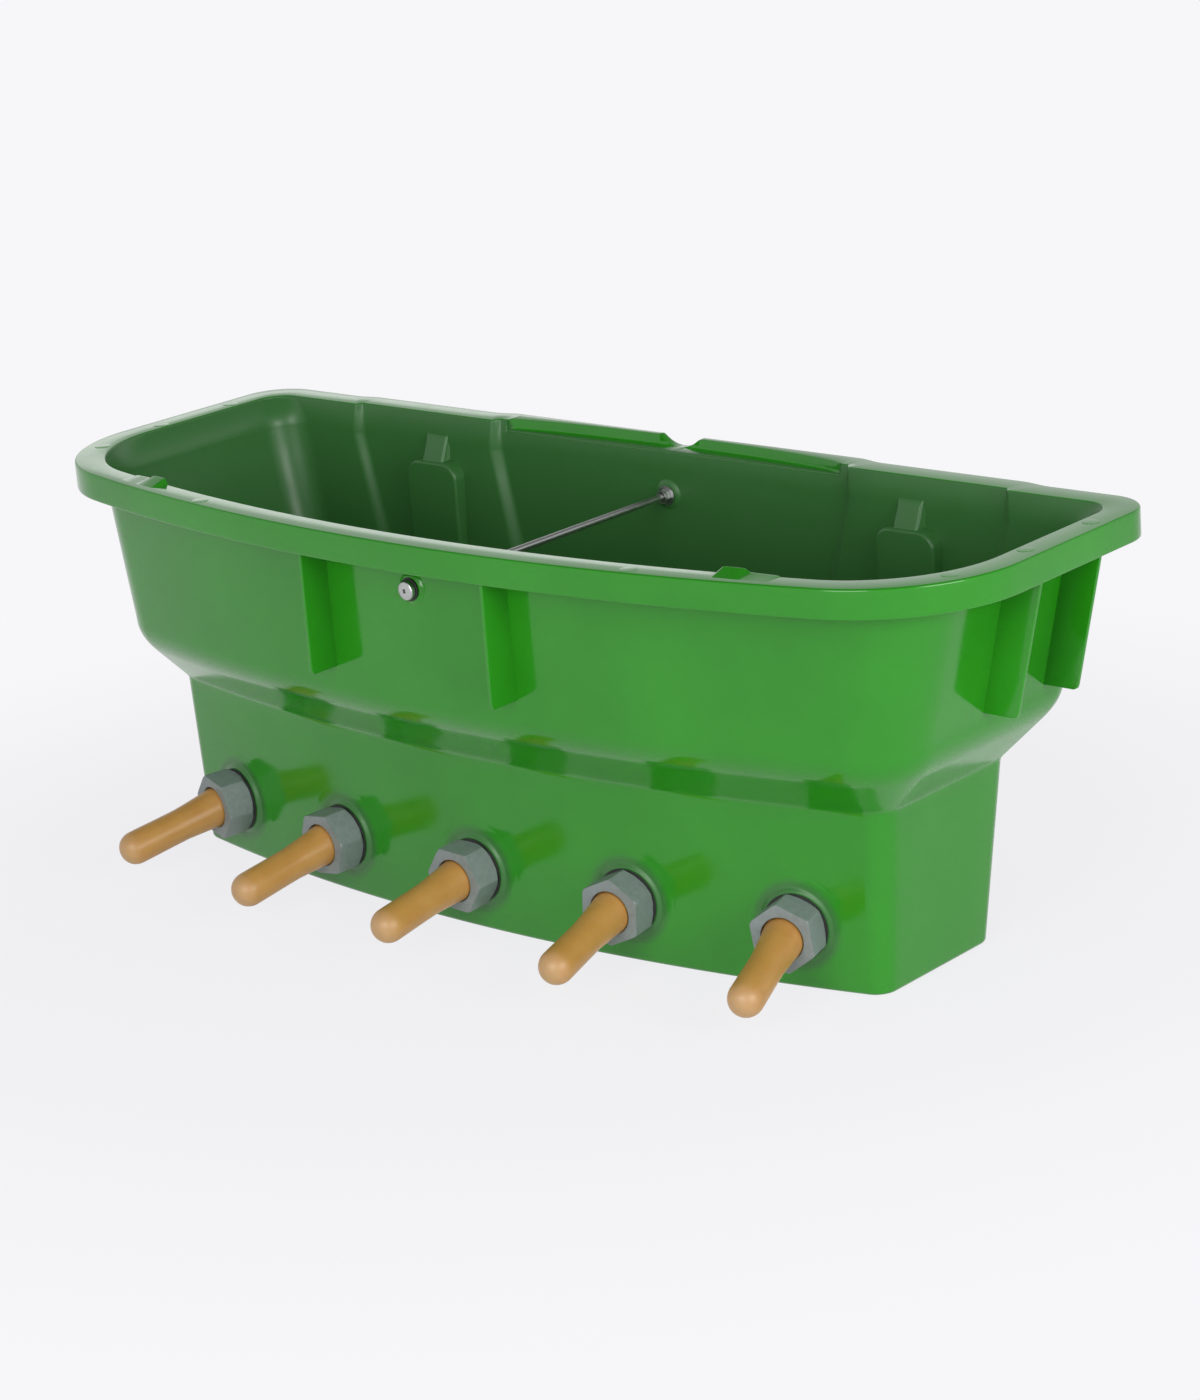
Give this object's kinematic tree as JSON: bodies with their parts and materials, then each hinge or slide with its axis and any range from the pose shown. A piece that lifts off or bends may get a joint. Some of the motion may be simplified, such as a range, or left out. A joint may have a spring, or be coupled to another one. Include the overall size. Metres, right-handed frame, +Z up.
{
  "type": "milk feeding trough",
  "caption": "Moulded open trough with a bowed front, deep well and rim, feeding calves through screw-on valve teats along its foot.",
  "frame": {"origin": "centre of the underside of the base", "axes": "+Z up, X along the length, -Y toward the teats"},
  "size_m": [0.9072, 0.3908, 0.3305],
  "materials": {
    "tub_green": "moulded polypropylene, satin gloss",
    "valve_white": "moulded acetal, satin",
    "seal_black": "matt rubber",
    "nut_grey": "moulded nylon, satin",
    "teat_amber": "latex, soft sheen",
    "ball_white": "smooth nylon",
    "tie_steel": "plain stainless steel"
  },
  "bodies": {
    "trough": {"trough_tub": "tub_green", "valve_body_1": "valve_white", "outer_seal_1": "seal_black", "inner_gasket_1": "seal_black", "valve_body_2": "valve_white", "outer_seal_2": "seal_black", "inner_gasket_2": "seal_black", "valve_body_3": "valve_white", "outer_seal_3": "seal_black", "inner_gasket_3": "seal_black", "valve_body_4": "valve_white", "outer_seal_4": "seal_black", "inner_gasket_4": "seal_black", "valve_body_5": "valve_white", "outer_seal_5": "seal_black", "inner_gasket_5": "seal_black", "tie_bolt": "tie_steel", "tie_front_seal": "seal_black", "tie_front_inner_washer": "tie_steel", "tie_front_inner_nut": "tie_steel", "tie_back_inner_washer": "tie_steel", "tie_back_inner_nut": "tie_steel", "tie_back_seal": "seal_black", "tie_back_washer": "tie_steel", "tie_lock_nut": "tie_steel"},
    "teat_1": {"teat_1": "teat_amber"},
    "nut_1": {"union_nut_1": "nut_grey"},
    "ball_1": {"valve_ball_1": "ball_white"},
    "teat_2": {"teat_2": "teat_amber"},
    "nut_2": {"union_nut_2": "nut_grey"},
    "ball_2": {"valve_ball_2": "ball_white"},
    "teat_3": {"teat_3": "teat_amber"},
    "nut_3": {"union_nut_3": "nut_grey"},
    "ball_3": {"valve_ball_3": "ball_white"},
    "teat_4": {"teat_4": "teat_amber"},
    "nut_4": {"union_nut_4": "nut_grey"},
    "ball_4": {"valve_ball_4": "ball_white"},
    "teat_5": {"teat_5": "teat_amber"},
    "nut_5": {"union_nut_5": "nut_grey"},
    "ball_5": {"valve_ball_5": "ball_white"}
  },
  "joints": [
    {"name": "teat_1_draw", "type": "slide", "parent": "trough", "child": "teat_1", "axis": [-0.2417, -0.9694, -0.0436], "range_m": [0, 0.0135]},
    {"name": "nut_1_turn", "type": "hinge", "parent": "teat_1", "child": "nut_1", "pos_m": [-0.28798, -0.06359, 0.04891], "axis": [-0.2417, -0.9694, -0.0436], "range_deg": [0, 1080]},
    {"name": "ball_1_travel", "type": "slide", "parent": "trough", "child": "ball_1", "axis": [-0.2417, -0.9694, -0.0436], "range_m": [-0.003, 0]},
    {"name": "teat_2_draw", "type": "slide", "parent": "trough", "child": "teat_2", "axis": [-0.1218, -0.9916, -0.0436], "range_m": [0, 0.0135]},
    {"name": "nut_2_turn", "type": "hinge", "parent": "teat_2", "child": "nut_2", "pos_m": [-0.14644, -0.08489, 0.04891], "axis": [-0.1218, -0.9916, -0.0436], "range_deg": [0, 1080]},
    {"name": "ball_2_travel", "type": "slide", "parent": "trough", "child": "ball_2", "axis": [-0.1218, -0.9916, -0.0436], "range_m": [-0.003, 0]},
    {"name": "teat_3_draw", "type": "slide", "parent": "trough", "child": "teat_3", "axis": [0, -0.999, -0.0436], "range_m": [0, 0.0135]},
    {"name": "nut_3_turn", "type": "hinge", "parent": "teat_3", "child": "nut_3", "pos_m": [0, -0.09224, 0.04891], "axis": [0, -0.999, -0.0436], "range_deg": [0, 1080]},
    {"name": "ball_3_travel", "type": "slide", "parent": "trough", "child": "ball_3", "axis": [0, -0.999, -0.0436], "range_m": [-0.003, 0]},
    {"name": "teat_4_draw", "type": "slide", "parent": "trough", "child": "teat_4", "axis": [0.1218, -0.9916, -0.0436], "range_m": [0, 0.0135]},
    {"name": "nut_4_turn", "type": "hinge", "parent": "teat_4", "child": "nut_4", "pos_m": [0.14644, -0.08489, 0.04891], "axis": [0.1218, -0.9916, -0.0436], "range_deg": [0, 1080]},
    {"name": "ball_4_travel", "type": "slide", "parent": "trough", "child": "ball_4", "axis": [0.1218, -0.9916, -0.0436], "range_m": [-0.003, 0]},
    {"name": "teat_5_draw", "type": "slide", "parent": "trough", "child": "teat_5", "axis": [0.2417, -0.9694, -0.0436], "range_m": [0, 0.0135]},
    {"name": "nut_5_turn", "type": "hinge", "parent": "teat_5", "child": "nut_5", "pos_m": [0.28798, -0.06359, 0.04891], "axis": [0.2417, -0.9694, -0.0436], "range_deg": [0, 1080]},
    {"name": "ball_5_travel", "type": "slide", "parent": "trough", "child": "ball_5", "axis": [0.2417, -0.9694, -0.0436], "range_m": [-0.003, 0]}
  ],
  "couplings": [
    {"joint": "teat_1_draw", "follows": "nut_1_turn", "m_per_rad": 0.00071619},
    {"joint": "teat_2_draw", "follows": "nut_2_turn", "m_per_rad": 0.00071619},
    {"joint": "teat_3_draw", "follows": "nut_3_turn", "m_per_rad": 0.00071619},
    {"joint": "teat_4_draw", "follows": "nut_4_turn", "m_per_rad": 0.00071619},
    {"joint": "teat_5_draw", "follows": "nut_5_turn", "m_per_rad": 0.00071619}
  ]
}
